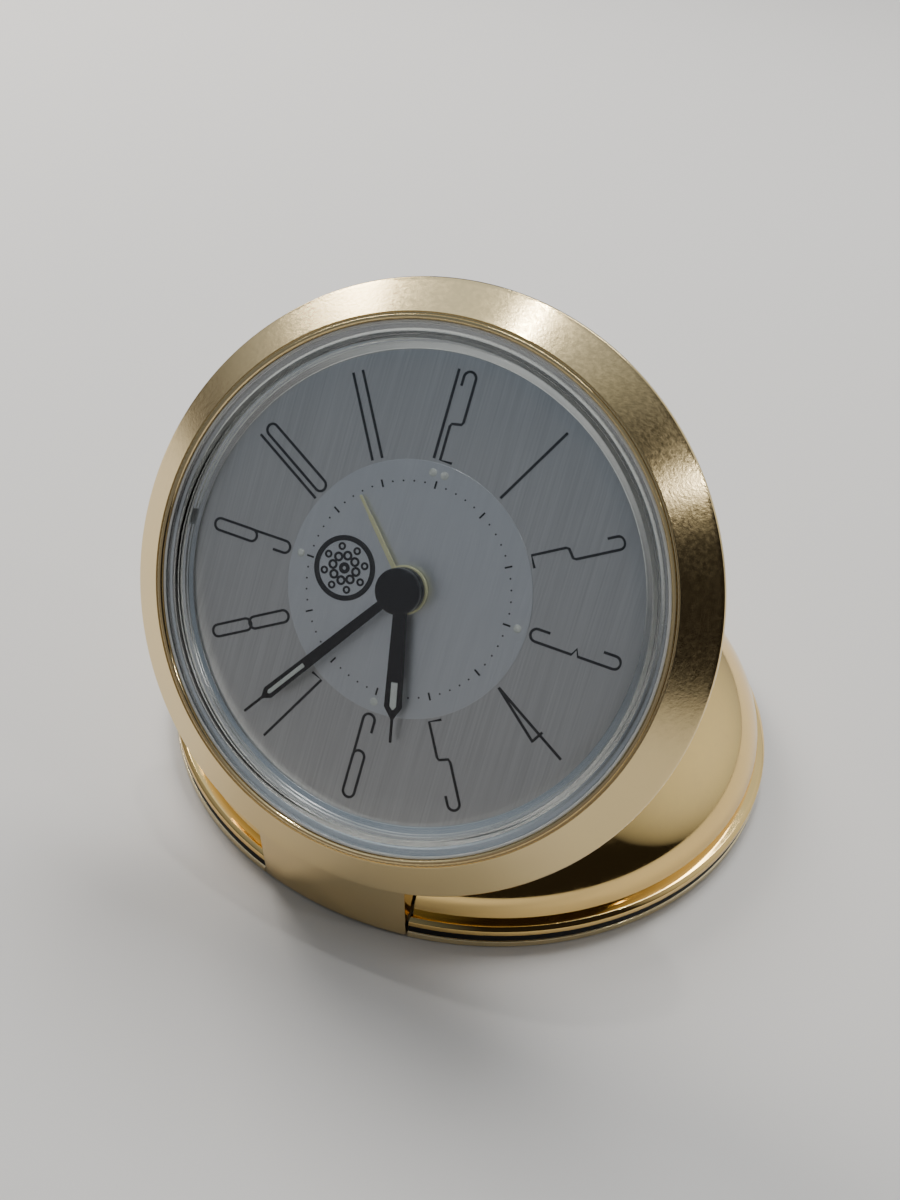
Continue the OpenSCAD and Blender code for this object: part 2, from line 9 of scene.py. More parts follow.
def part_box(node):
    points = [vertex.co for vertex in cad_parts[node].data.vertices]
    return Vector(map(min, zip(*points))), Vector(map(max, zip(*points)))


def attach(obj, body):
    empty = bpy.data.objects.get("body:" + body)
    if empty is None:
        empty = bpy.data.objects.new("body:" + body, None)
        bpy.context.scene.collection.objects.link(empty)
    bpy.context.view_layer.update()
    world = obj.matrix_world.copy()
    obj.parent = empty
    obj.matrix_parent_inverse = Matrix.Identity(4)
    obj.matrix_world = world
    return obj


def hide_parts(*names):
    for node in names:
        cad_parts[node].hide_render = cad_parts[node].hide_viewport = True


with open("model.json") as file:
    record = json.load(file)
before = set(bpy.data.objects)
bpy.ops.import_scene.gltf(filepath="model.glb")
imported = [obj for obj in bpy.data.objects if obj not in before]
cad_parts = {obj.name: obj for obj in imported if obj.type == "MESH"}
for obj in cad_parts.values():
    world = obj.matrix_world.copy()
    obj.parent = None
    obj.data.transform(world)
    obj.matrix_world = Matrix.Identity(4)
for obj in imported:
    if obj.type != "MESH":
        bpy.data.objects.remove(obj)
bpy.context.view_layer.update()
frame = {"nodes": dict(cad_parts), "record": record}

MM = 0.001
STEPS = 288
SHARP = math.radians(32)

# ---- The clock head's own frame: X right, Y towards 12, Z out of the dial ----

joints = {joint["name"]: joint for joint in frame["record"]["behaviour"]["joints"]}
dial_joint = joints["minute_hand_turn"]
OUT = -Vector(dial_joint["axis"]).normalized()
RIGHT = Vector((1, 0, 0))
UP = OUT.cross(RIGHT)
CENTRE = Vector(dial_joint["pos_m"])
HEAD = Matrix.Translation(CENTRE) @ Matrix((RIGHT, UP, OUT)).transposed().to_4x4()
TILT = math.atan2(UP.z, UP.y)
HEAD_MM = Matrix.Translation(CENTRE / MM) @ HEAD.to_3x3().to_4x4()
SCALE = Matrix.Scale(MM, 4)
WORLD = Matrix.Identity(4)

# Lid, in millimetres
LID_R = 38.5
LINE_Z = 1.0
LIP_Z = 1.9
LINE_INSET = 0.1
DOME_Z = 3.0
DOME_H = 12.8
DOME_R = 37.4
DOME_POWER = 3.0
DOME_WALL = 0.6
WALL_R = 37.5
NOTCH_HALF = 9.05
NOTCH_TOP = 8.9
RING_WIDTH = 1.9
CHEEK_W = 3.0
CHEEK_BACK_Y = -32.9
CHEEK_TOP = 3.4
PIN_R = 0.6
LINER_R = 18.0
LINER_T = 0.3

# Clock head, in millimetres
BEZEL_R = 32.0
GLASS_R = 27.4
LUG_HALF = 8.85
PIN_Y = 35.2
PIN_Z = 1.8
KNUCKLE_BORE = 0.65
CENTRE_DISC_R = 13.4
BACK_Z = -10.5
BACK_WALL = 0.9
SETTING = (-5.196, -3.0)
ALARM_SETTING = (5.404, -3.12)
HATCH_Y = 7.6
HATCH_R = 7.2
SWITCH_X = -1.2
SWITCH_Y = -11.2
SCREW_ANGLES = (10, 170, 270)
SCREW_RING_R = 14.0
FACE_Z = 0.08
KNOB_R = 2.9

# Half the floor's width, in metres
FLOOR_HALF = 3.0

# Hands: angles clockwise from 12
MINUTE_AT = 216
HOUR_AT = MINUTE_AT / 12 + 150
ALARM_AT = 317


# ---- Shader nodes ----

def node(tree, kind, inputs=(), **settings):
    """Adds a shader node. A pair in inputs is a socket and its value or the socket it takes."""
    made = tree.nodes.new("ShaderNode" + kind)
    for name, value in settings.items():
        setattr(made, name, value)
    for socket, value in inputs:
        if isinstance(value, bpy.types.NodeSocket):
            tree.links.new(value, made.inputs[socket])
        else:
            made.inputs[socket].default_value = value
    return made


def object_coordinates(tree):
    return node(tree, "TexCoord").outputs["Object"]


def dial_coordinates(tree):
    """Coordinates in the clock head's own frame."""
    mapping = node(tree, "Mapping", [("Vector", object_coordinates(tree)),
                                     ("Location", CENTRE), ("Rotation", (TILT, 0, 0))],
                   vector_type="TEXTURE")
    return mapping.outputs["Vector"]


def stretched(tree, vector, scale):
    made = node(tree, "VectorMath", [(0, vector), (1, scale)], operation="MULTIPLY")
    return made.outputs["Vector"]


def distance_from_axis(tree, where):
    flat = stretched(tree, where, (1, 1, 0))
    return node(tree, "VectorMath", [(0, flat)], operation="LENGTH").outputs["Value"]


def noise(tree, vector, scale, detail=3.0, rough=0.5, distortion=0.0):
    made = node(tree, "TexNoise", [("Vector", vector), ("Scale", scale), ("Detail", detail),
                                   ("Roughness", rough), ("Distortion", distortion)])
    return made.outputs["Fac"]


def remap(tree, value, low, high, to_low, to_high):
    made = node(tree, "MapRange", [("Value", value), ("From Min", low), ("From Max", high),
                                   ("To Min", to_low), ("To Max", to_high)])
    return made.outputs["Result"]


def arithmetic(tree, operation, first, second):
    return node(tree, "Math", [(0, first), (1, second)], operation=operation).outputs["Value"]


def blend_colours(tree, factor, first, second):
    made = node(tree, "Mix", data_type="RGBA")
    tree.links.new(factor, made.inputs["Factor"])
    colours = [socket for socket in made.inputs if socket.type == "RGBA"]
    for socket, colour in zip(colours, (first, second)):
        if isinstance(colour, bpy.types.NodeSocket):
            tree.links.new(colour, socket)
        else:
            socket.default_value = (*colour, 1)
    return [socket for socket in made.outputs if socket.type == "RGBA"][0]


def bump(tree, height, distance, strength=1.0, under=None):
    made = node(tree, "Bump", [("Height", height), ("Distance", distance), ("Strength", strength)])
    if under is not None:
        tree.links.new(under, made.inputs["Normal"])
    return made.outputs["Normal"]


def new_material(name):
    material = bpy.data.materials.new(name)
    material.use_nodes = True
    tree = material.node_tree
    shader = tree.nodes["Principled BSDF"]
    return material, tree, shader


def surface(name, light, dark, rough, metallic=0.0, grain=4000, grain_depth=0.000006,
            patch=140, wear=0.25, **constants):
    """General finish with a fine grain, whose colour and roughness each drift between two values.

    patch is how often the drift repeats in a metre. A smaller wear parts the tones more sharply.
    """
    material, tree, shader = new_material(name)
    where = object_coordinates(tree)
    slow = noise(tree, where, patch, 5, 0.6)
    fine = noise(tree, where, grain, 2, 0.5)
    smudge = noise(tree, where, patch * 3.3, 6, 0.7, 0.6)
    tone = remap(tree, slow, 0.5 - wear, 0.5 + wear, 0, 1)
    tree.links.new(blend_colours(tree, tone, light, dark), shader.inputs["Base Color"])
    polish = remap(tree, smudge, 0.3, 0.7, rough[0], rough[1])
    tree.links.new(polish, shader.inputs["Roughness"])
    shader.inputs["Metallic"].default_value = metallic
    tree.links.new(bump(tree, fine, grain_depth), shader.inputs["Normal"])
    for socket, value in constants.items():
        shader.inputs[socket.replace("_", " ")].default_value = value
    return material


def polished_gold():
    """Mirror gold with a faint orange peel, fingerprints and hair scratches."""
    material, tree, shader = new_material("polished_gold")
    where = object_coordinates(tree)
    wave = noise(tree, where, 75, 2, 0.4)
    prints = noise(tree, where, 210, 7, 0.72, 1.1)
    scratch_paths = stretched(tree, where, (2600, 240, 900))
    scratches = noise(tree, scratch_paths, 1.0, 4, 0.75)
    hair = remap(tree, scratches, 0.66, 0.78, 0, 1)
    tone = remap(tree, prints, 0.35, 0.7, 0, 1)
    colour = blend_colours(tree, tone, (0.90, 0.63, 0.24), (0.86, 0.60, 0.24))
    tree.links.new(colour, shader.inputs["Base Color"])
    smudged = remap(tree, prints, 0.42, 0.72, 0.055, 0.13)
    worn = arithmetic(tree, "ADD", smudged, arithmetic(tree, "MULTIPLY", hair, 0.10))
    tree.links.new(worn, shader.inputs["Roughness"])
    shader.inputs["Metallic"].default_value = 1.0
    relief = bump(tree, wave, 0.00005)
    tree.links.new(bump(tree, hair, 0.000002, 0.7, relief), shader.inputs["Normal"])
    return material


def satin_gold():
    """Gold plating over a fine blasted grain, polished by handling at the bezel's edges."""
    material, tree, shader = new_material("satin_gold")
    where = dial_coordinates(tree)
    grain = noise(tree, where, 3400, 2, 0.6)
    speckle = noise(tree, where, 2100, 2, 0.5)
    smudges = noise(tree, where, 70, 3, 0.5, 0.5)
    wipes = noise(tree, stretched(tree, where, (160, 80, 80)), 1.0, 3, 0.5, 0.8)
    radius = distance_from_axis(tree, where)
    rim = remap(tree, radius, 0.0315, 0.0319, 0, 1)
    lip = remap(tree, radius, 0.0283, 0.0279, 0, 1)
    polished = arithmetic(tree, "MAXIMUM", rim, lip)
    tone = remap(tree, smudges, 0.30, 0.70, 0, 1)
    colour = blend_colours(tree, tone, (0.86, 0.66, 0.33), (0.82, 0.64, 0.34))
    tree.links.new(colour, shader.inputs["Base Color"])
    matt = remap(tree, wipes, 0.30, 0.75, 0.19, 0.22)
    spotted = arithmetic(tree, "ADD", matt, remap(tree, speckle, 0.35, 0.65, -0.03, 0.03))
    handled = arithmetic(tree, "SUBTRACT", spotted, arithmetic(tree, "MULTIPLY", polished, 0.10))
    tree.links.new(handled, shader.inputs["Roughness"])
    shader.inputs["Metallic"].default_value = 1.0
    coarse = bump(tree, speckle, 0.000004)
    tree.links.new(bump(tree, grain, 0.000008, 1.0, coarse), shader.inputs["Normal"])
    return material


def brushed_dial(name, light, dark, along, depth, rough):
    """Silvered dial brushed from 12 to 6. along is how many brush marks follow on in a metre."""
    material, tree, shader = new_material(name)
    where = dial_coordinates(tree)
    marks = noise(tree, stretched(tree, where, (5200, along, 1)), 1.0, 3, 0.6)
    broad = noise(tree, stretched(tree, where, (900, along / 3, 1)), 1.0, 2, 0.5)
    cloud = noise(tree, where, 60, 3, 0.5)
    streaks = arithmetic(tree, "ADD", arithmetic(tree, "MULTIPLY", marks, 0.7),
                         arithmetic(tree, "MULTIPLY", broad, 0.3))
    tone = remap(tree, streaks, 0.36, 0.64, 0, 1)
    tree.links.new(blend_colours(tree, tone, light, dark), shader.inputs["Base Color"])
    tree.links.new(remap(tree, cloud, 0.3, 0.7, rough[0], rough[1]), shader.inputs["Roughness"])
    shader.inputs["Metallic"].default_value = 0.92
    tree.links.new(bump(tree, streaks, depth), shader.inputs["Normal"])
    return material


def turned_silver():
    """Silvered ring with the fine circles of a lathe."""
    material, tree, shader = new_material("chapter_silver")
    where = dial_coordinates(tree)
    radius = distance_from_axis(tree, where)
    line = node(tree, "CombineXYZ", [("X", radius)]).outputs["Vector"]
    circles = noise(tree, line, 9000, 2, 0.5)
    cloud = noise(tree, where, 160, 3, 0.5)
    tone = remap(tree, cloud, 0.35, 0.65, 0, 1)
    colour = blend_colours(tree, tone, (0.90, 0.91, 0.89), (0.82, 0.84, 0.83))
    tree.links.new(colour, shader.inputs["Base Color"])
    tree.links.new(remap(tree, circles, 0.3, 0.7, 0.16, 0.28), shader.inputs["Roughness"])
    shader.inputs["Metallic"].default_value = 1.0
    tree.links.new(bump(tree, circles, 0.000003), shader.inputs["Normal"])
    return material


def clear_lens():
    """Clear acrylic. Light for shadows passes straight through it."""
    material, tree, shader = new_material("acrylic")
    shader.inputs["Base Color"].default_value = (0.97, 0.985, 0.98, 1)
    shader.inputs["Transmission Weight"].default_value = 1.0
    shader.inputs["IOR"].default_value = 1.49
    where = object_coordinates(tree)
    film = noise(tree, where, 130, 5, 0.65, 0.5)
    tree.links.new(remap(tree, film, 0.4, 0.75, 0.0, 0.035), shader.inputs["Roughness"])
    through = node(tree, "BsdfTransparent")
    path = node(tree, "LightPath")
    mix = node(tree, "MixShader", [("Fac", path.outputs["Is Shadow Ray"]),
                                   (1, shader.outputs["BSDF"]), (2, through.outputs["BSDF"])])
    tree.links.new(mix.outputs["Shader"], tree.nodes["Material Output"].inputs["Surface"])
    return material


materials = {
    "polished_gold": polished_gold(),
    "satin_gold": satin_gold(),
    "pale_gold": surface("pale_gold", (0.90, 0.76, 0.47), (0.85, 0.71, 0.43), (0.14, 0.24), 1.0,
                         5000, 0.000004, 190),
    "black_line": surface("black_line", (0.006, 0.006, 0.007), (0.012, 0.011, 0.011), (0.45, 0.60),
                          0.0, 3000, 0.000002, 260, Specular_IOR_Level=0.2),
    "liner": surface("liner", (0.016, 0.014, 0.018), (0.034, 0.030, 0.036), (0.86, 0.98), 0.0,
                     3600, 0.00009, 320, Sheen_Weight=0.6, Sheen_Roughness=0.45),
    "steel": surface("steel", (0.66, 0.66, 0.67), (0.56, 0.56, 0.57), (0.22, 0.36), 1.0, 5000),
    "nylon": surface("nylon", (0.80, 0.79, 0.74), (0.74, 0.73, 0.67), (0.42, 0.55), 0.0, 2600),
    "acrylic": clear_lens(),
    "chapter_silver": turned_silver(),
    "dial_silver": brushed_dial("dial_silver", (0.74, 0.735, 0.72), (0.62, 0.615, 0.60), 55,
                                0.000010, (0.30, 0.36)),
    "dial_centre": brushed_dial("dial_centre", (0.82, 0.835, 0.85), (0.76, 0.775, 0.79), 110,
                                0.000004, (0.36, 0.41)),
    "dial_print": surface("dial_print", (0.010, 0.010, 0.011), (0.018, 0.017, 0.017), (0.38, 0.55),
                          0.0, 6000, 0.000004, 400),
    "lume": surface("lume", (0.90, 0.92, 0.86), (0.82, 0.85, 0.78), (0.62, 0.78), 0.0, 4200,
                    0.000018, 700),
    "case_plastic": surface("case_plastic", (0.70, 0.56, 0.31), (0.62, 0.50, 0.28), (0.36, 0.50),
                            0.85, 2600, 0.000016, 120),
    "movement_plastic": surface("movement_plastic", (0.74, 0.66, 0.43), (0.68, 0.60, 0.39),
                                (0.30, 0.42), 0.7, 3200),
    "circuit_board": surface("circuit_board", (0.045, 0.20, 0.09), (0.030, 0.15, 0.07),
                             (0.30, 0.44), 0.0, 2400, 0.000006, 500, Coat_Weight=0.4),
    "black_plastic": surface("black_plastic", (0.022, 0.022, 0.023), (0.036, 0.035, 0.035),
                             (0.40, 0.56), 0.0, 2800, 0.000016, 240),
    "copper": surface("copper", (0.78, 0.36, 0.17), (0.66, 0.28, 0.12), (0.24, 0.38), 1.0,
                      9000, 0.00001),
    "wheel_plastic": surface("wheel_plastic", (0.82, 0.80, 0.70), (0.76, 0.73, 0.62),
                             (0.38, 0.50), 0.0, 3000),
    "brass": surface("brass", (0.84, 0.64, 0.30), (0.74, 0.55, 0.25), (0.20, 0.34), 1.0, 5200),
    "battery_steel": surface("battery_steel", (0.72, 0.72, 0.73), (0.62, 0.62, 0.63),
                             (0.18, 0.30), 1.0, 4600),
    "contact": surface("contact", (0.84, 0.78, 0.58), (0.74, 0.68, 0.50), (0.22, 0.36), 1.0, 5000),
    "hand_black": surface("hand_black", (0.003, 0.003, 0.003), (0.005, 0.005, 0.005),
                          (0.08, 0.16), 0.0, 3200, 0.0000010, 330, Specular_IOR_Level=0.4),
    "alarm_gold": surface("alarm_gold", (0.92, 0.90, 0.55), (0.88, 0.85, 0.50), (0.40, 0.46),
                          0.25, 4000, 0.0000004, 300, 0.4),
}

slot_of = {part["node"]: part["material_slot"] for part in frame["record"]["subparts"]}
for name, cad_object in frame["nodes"].items():
    cad_object.data.materials.clear()
    cad_object.data.materials.append(materials[slot_of[name]])


# ---- Mesh tools: everything is made in millimetres ----

def rounded(corners, steps=4):
    """Closed outline whose (x, y, radius) corners are rounded."""
    outline = []
    count = len(corners)
    for i, (x, y, radius) in enumerate(corners):
        here = Vector((x, y))
        if radius <= 0:
            outline.append((x, y))
            continue
        before = Vector(corners[i - 1][:2]) - here
        after = Vector(corners[(i + 1) % count][:2]) - here
        half = before.angle(after) / 2
        room = 0.48 * min(before.length, after.length)
        reach = min(radius / math.tan(half), room)
        real = reach * math.tan(half)
        before.normalize()
        after.normalize()
        middle = here + (before + after).normalized() * (real / math.sin(half))
        first = here + before * reach - middle
        last = here + after * reach - middle
        start = math.atan2(first.y, first.x)
        sweep = (math.atan2(last.y, last.x) - start + math.pi) % (2 * math.pi) - math.pi
        for k in range(steps + 1):
            angle = start + sweep * k / steps
            outline.append((middle.x + real * math.cos(angle), middle.y + real * math.sin(angle)))
    return outline


def plain(points):
    """Corners that stay as they are, for rounded()."""
    return [(x, y, 0) for x, y in points]


def lathe(profile, steps=STEPS):
    """Solid of revolution about Z from a closed list of (radius, height)."""
    mesh = bmesh.new()
    rings = []
    for radius, height in profile:
        if radius < 1e-6:
            rings.append([mesh.verts.new((0, 0, height))])
            continue
        angles = [2 * math.pi * k / steps for k in range(steps)]
        rings.append([mesh.verts.new((radius * math.cos(a), radius * math.sin(a), height))
                      for a in angles])
    for ring, following in zip(rings, rings[1:] + rings[:1]):
        if len(ring) == 1 and len(following) == 1:
            continue
        for k in range(steps):
            n = (k + 1) % steps
            if len(ring) == 1:
                mesh.faces.new((ring[0], following[k], following[n]))
            elif len(following) == 1:
                mesh.faces.new((ring[k], following[0], ring[n]))
            else:
                mesh.faces.new((ring[k], following[k], following[n], ring[n]))
    bmesh.ops.recalc_face_normals(mesh, faces=mesh.faces)
    return mesh


def prism(outline, low, high, bevel=0.0):
    """Upright solid on a closed outline, with its edges bevelled."""
    mesh = bmesh.new()
    base = [mesh.verts.new((x, y, low)) for x, y in outline]
    top = [mesh.verts.new((x, y, high)) for x, y in outline]
    mesh.faces.new(base[::-1])
    mesh.faces.new(top)
    count = len(outline)
    for k in range(count):
        n = (k + 1) % count
        mesh.faces.new((base[k], base[n], top[n], top[k]))
    bmesh.ops.recalc_face_normals(mesh, faces=mesh.faces)
    if bevel > 0:
        ends = [edge for edge in mesh.edges
                if abs(edge.verts[0].co.z - edge.verts[1].co.z) < 1e-9]
        bmesh.ops.bevel(mesh, geom=ends, offset=bevel, segments=3, profile=0.5,
                        affect="EDGES", clamp_overlap=True)
    return mesh


def block(x0, x1, y0, y1, z0, z1, radius=0.0, bevel=0.0):
    """Box whose upright edges have a radius and whose ends have a bevel."""
    corners = [(x0, y0, radius), (x1, y0, radius), (x1, y1, radius), (x0, y1, radius)]
    return prism(rounded(corners), z0, z1, bevel)


def circle(x, y, radius, steps=64):
    return [(x + radius * math.cos(2 * math.pi * k / steps),
             y + radius * math.sin(2 * math.pi * k / steps)) for k in range(steps)]


def moved(mesh, x=0.0, y=0.0, z=0.0, turn=0.0):
    """Turns a mesh about Z, in degrees, then moves it."""
    mesh.transform(Matrix.Translation((x, y, z)) @ Matrix.Rotation(math.radians(turn), 4, "Z"))
    return mesh


def merged(*meshes):
    """Puts several meshes into one without joining them."""
    whole = bmesh.new()
    for mesh in meshes:
        holder = bpy.data.meshes.new("holder")
        mesh.to_mesh(holder)
        mesh.free()
        whole.from_mesh(holder)
        bpy.data.meshes.remove(holder)
    return whole


def temporary(mesh):
    """Object for a boolean. It is removed afterwards."""
    data = bpy.data.meshes.new("temporary")
    mesh.to_mesh(data)
    mesh.free()
    made = bpy.data.objects.new("temporary", data)
    bpy.context.scene.collection.objects.link(made)
    return made


def combined(mesh, other, operation="DIFFERENCE"):
    """Exact boolean of two meshes."""
    target = temporary(mesh)
    tool = temporary(other)
    modifier = target.modifiers.new("cut", "BOOLEAN")
    modifier.object = tool
    modifier.operation = operation
    modifier.solver = "EXACT"
    result = bmesh.new()
    result.from_object(target, bpy.context.evaluated_depsgraph_get())
    for used in (target, tool):
        data = used.data
        bpy.data.objects.remove(used)
        bpy.data.meshes.remove(data)
    bmesh.ops.remove_doubles(result, verts=result.verts, dist=1e-5)
    return result


def piece(name, mesh, body, slot, nodes=(), place=HEAD, weighted=True):
    """Makes a mesh into a piece of the clock that rides on a body."""
    mesh.transform(place @ SCALE)
    for face in mesh.faces:
        face.smooth = True
    for edge in mesh.edges:
        edge.smooth = len(edge.link_faces) == 2 and edge.calc_face_angle(0) < SHARP
    data = bpy.data.meshes.new(name)
    mesh.to_mesh(data)
    mesh.free()
    data.materials.append(materials[slot])
    made = bpy.data.objects.new(name, data)
    bpy.context.scene.collection.objects.link(made)
    if weighted:
        modifier = made.modifiers.new("flat_faces", "WEIGHTED_NORMAL")
        modifier.keep_sharp = True
        modifier.weight = 60
    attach(made, body)
    if nodes:
        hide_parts(*nodes)
    return made


# ---- Lid, which is the base ----

def dome_height(radius, inset):
    reach = min(1.0, radius / (DOME_R - inset))
    return DOME_Z + (DOME_H - inset) * math.sqrt(max(0.0, 1 - reach ** DOME_POWER))


def dome_line(inset):
    """Points of the dome's line from its top to its foot, inset from the outside."""
    count = 64
    angles = [math.pi / 2 * k / count for k in range(count + 1)]
    return [((DOME_R - inset) * math.sin(a), dome_height((DOME_R - inset) * math.sin(a), inset))
            for a in angles]


def notch():
    """What the lid loses for the lug."""
    return block(-NOTCH_HALF, NOTCH_HALF, -LID_R - 2, -22, -1, NOTCH_TOP)


def bore(radius):
    """Cylinder along the hinge pin."""
    hole = prism(circle(0, 0, radius), -30, 30)
    hole.transform(Matrix.Translation((0, -PIN_Y, PIN_Z)) @ Matrix.Rotation(math.pi / 2, 4, "Y"))
    return hole


lip = [(LID_R - 0.45, DOME_Z, 0.12), (LID_R, DOME_Z - 0.35, 0.25), (LID_R, LIP_Z + 0.12, 0.1),
       (LID_R - 0.15, LIP_Z, 0.08), (WALL_R - 0.9, LIP_Z, 0)]
shell_profile = rounded(plain(dome_line(0)) + lip + plain(dome_line(DOME_WALL)[::-1]))
piece("lid_dome", combined(lathe(shell_profile), notch()), "base", "polished_gold",
      ["lid_shell"], WORLD)

line_profile = rounded([(LID_R - LINE_INSET, LINE_Z, 0.05), (LID_R - LINE_INSET, LIP_Z, 0.05),
                        (WALL_R, LIP_Z, 0), (WALL_R, LINE_Z, 0)])
piece("lid_black_line", combined(lathe(line_profile), notch()), "base", "black_line",
      ["lid_black_ring"], WORLD)


def cheek_part(side, radius, low, high, bevel=0.0):
    """Block beside the notch whose outer face follows a circle."""
    near = NOTCH_HALF + 0.01
    far = NOTCH_HALF + CHEEK_W
    outline = [(side * near, -math.sqrt(radius ** 2 - near ** 2), 0.1),
               (side * far, -math.sqrt(radius ** 2 - far ** 2), 0.2),
               (side * far, CHEEK_BACK_Y, 0.3), (side * near, CHEEK_BACK_Y, 0.3)]
    return prism(rounded(outline), low, high, bevel)


def cheek(side):
    """What holds one end of the hinge pin: a foot within the ring and a top within the dome."""
    return (cheek_part(side, WALL_R - 0.2, 0.02, LIP_Z - 0.02),
            cheek_part(side, DOME_R - DOME_WALL - 0.6, 1.0, CHEEK_TOP, 0.12))


ring_in = LID_R - RING_WIDTH
ring_profile = rounded([(ring_in, 0, 0.2), (LID_R, 0, 0.28), (LID_R, LINE_Z, 0.14),
                        (WALL_R, LINE_Z, 0.03), (WALL_R, LIP_Z, 0.05), (ring_in, LIP_Z, 0.1)])
ring = combined(lathe(ring_profile), notch())
for side in (-1, 1):
    for part in cheek(side):
        ring = combined(ring, part, "UNION")
piece("lid_rim", combined(ring, bore(PIN_R)), "base", "pale_gold", ["lid_rim_ring"], WORLD)

liner_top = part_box("lid_liner")[1].z / MM
liner_profile = rounded([(0, liner_top - LINER_T, 0), (LINER_R, liner_top - LINER_T, 0.14),
                         (LINER_R, liner_top, 0.1), (0, liner_top, 0)])
piece("lid_lining", lathe(liner_profile, 128), "base", "liner", ["lid_liner"], WORLD)


# ---- Clock head: bezel and its hinge lug ----

def in_world(x, y, z):
    """A point of the head, in the base's frame."""
    return HEAD @ (Vector((x, y, z)) * MM) / MM


def lug_section(x):
    """Closed side view of the lug at x, as (y, z) in the base's frame, with rounded corners."""
    def on_head(radius, z):
        place = in_world(x, -math.sqrt(radius * radius - x * x), z)
        return place.y, place.z

    def front(height):
        cone = LID_R - 0.02 + 1.9 * height / 12
        return -math.sqrt(cone * cone - x * x)

    top_y, top_z = on_head(BEZEL_R - 0.02, -0.02)
    slip = top_y - front(top_z)
    corners = [(*on_head(31.2, -0.3), 0), (top_y, top_z, 0)]
    for k in range(1, 9):
        t = k / 9
        height = top_z + (0.15 - top_z) * t
        corners.append((front(height) + slip * (1 - t), height, 0))
    corners += [(front(0.15), 0.15, 0.35), (-PIN_Y, 0.15, 0.9), (-PIN_Y + 1.2, 0.63, 0.5),
                (-PIN_Y + 1.65, PIN_Z, 0.6), (-PIN_Y + 0.95, 6.6, 0.4)]
    corners += [(*on_head(29.2, -3.6), 0.1), (*on_head(30.5, -1.9), 0), (*on_head(30.8, -0.7), 0)]
    return rounded(corners)


def lug():
    """Lofted block, from side to side, that runs from the bezel down to the hinge pin."""
    mesh = bmesh.new()
    count = 48
    sections = []
    for i in range(count + 1):
        x = -LUG_HALF + 2 * LUG_HALF * i / count
        sections.append([mesh.verts.new((x, y, z)) for y, z in lug_section(x)])
    for section, following in zip(sections, sections[1:]):
        for k in range(len(section)):
            n = (k + 1) % len(section)
            mesh.faces.new((section[k], section[n], following[n], following[k]))
    caps = [mesh.faces.new(sections[0]), mesh.faces.new(sections[-1][::-1])]
    bmesh.ops.recalc_face_normals(mesh, faces=mesh.faces)
    rims = [edge for cap in caps for edge in cap.edges]
    bmesh.ops.bevel(mesh, geom=rims, offset=0.12, segments=3, profile=0.5, affect="EDGES",
                    clamp_overlap=True)
    mesh.transform(HEAD_MM.inverted())
    return mesh


bezel_profile = rounded([
    (GLASS_R, 0.02, 0), (GLASS_R, 2.95, 0.06), (GLASS_R + 0.13, 3.1, 0.08),
    (GLASS_R + 0.42, 3.1, 0.06), (GLASS_R + 0.5, 2.86, 0.04), (GLASS_R + 0.66, 2.86, 0.04),
    (GLASS_R + 0.74, 3.0, 0.08), (BEZEL_R - 0.1, 0.22, 0.12), (BEZEL_R, 0.0, 0.1),
    (BEZEL_R, -0.35, 0.15), (BEZEL_R - 0.5, -0.9, 0.15), (29.0, -0.9, 0), (29.0, -2.6, 0),
    (28.0, -2.6, 0), (28.0, 0.02, 0)])
bezel_body = lathe(bezel_profile, 2 * STEPS)
# The outer wall of the groove beside the glass is knurled
for vertex in bezel_body.verts:
    across = vertex.co.xy.length
    if abs(across - GLASS_R - 0.69) < 0.05 and vertex.co.z > 2.8:
        tooth = round(math.atan2(vertex.co.y, vertex.co.x) * STEPS / math.pi)
        vertex.co.xy *= (across + (0.05 if tooth % 2 else -0.03)) / across
shell = combined(bezel_body, lug(), "UNION")
knuckle_hole = bore(KNUCKLE_BORE)
knuckle_hole.transform(HEAD_MM.inverted())
piece("bezel_ring", combined(shell, knuckle_hole), "head", "satin_gold", ["bezel"])


# ---- Clock head: lens and dial ----

def bowl(edge, middle, drop, count=20):
    """Points of a shallow dome's line from its middle to its edge."""
    return [(edge * k / count, middle - drop * (k / count) ** 2) for k in range(count + 1)]


lens_rim = [(25.9, 3.2, 0.25), (27.08, 2.72, 0.15), (27.08, 1.12, 0.08), (26.0, 1.12, 0.08),
            (25.4, 2.2, 0.3)]
lens_profile = plain(bowl(25.2, 4.5, 0.9)) + lens_rim + plain(bowl(24.6, 3.4, 0.7)[::-1])
piece("lens_dome", lathe(rounded(lens_profile), 192), "head", "acrylic", ["lens"])

gasket_profile = rounded([(GLASS_R - 0.3, 1.12, 0.05), (GLASS_R - 0.01, 1.12, 0.05),
                          (GLASS_R - 0.01, 2.75, 0.1), (GLASS_R - 0.3, 2.75, 0.1)])
piece("lens_seal", lathe(gasket_profile), "head", "nylon", ["lens_gasket"])

chapter_profile = rounded([
    (24.75, 0.0, 0), (24.75, 0.26, 0.05), (24.85, 0.3, 0.03), (25.45, 0.52, 0.05),
    (25.5, 0.66, 0.04), (25.72, 0.72, 0.05), (25.76, 0.92, 0.05), (26.35, 1.1, 0.08),
    (27.35, 1.1, 0.05), (27.35, 0.0, 0)])
notch_cut = block(-0.9, 0.9, 25.3, 26.15, 0.08, 2.0, 0.05)
piece("dial_ring", combined(lathe(chapter_profile), moved(notch_cut, turn=90)), "head",
      "chapter_silver", ["chapter_ring"])

centre_profile = rounded([(2.05, 0.0, 0), (CENTRE_DISC_R, 0.0, 0),
                          (CENTRE_DISC_R, FACE_Z, 0.03), (2.05, FACE_Z, 0.02)])
piece("dial_inner_disc", lathe(centre_profile, 192), "head", "dial_centre",
      ["dial_centre_disc"])


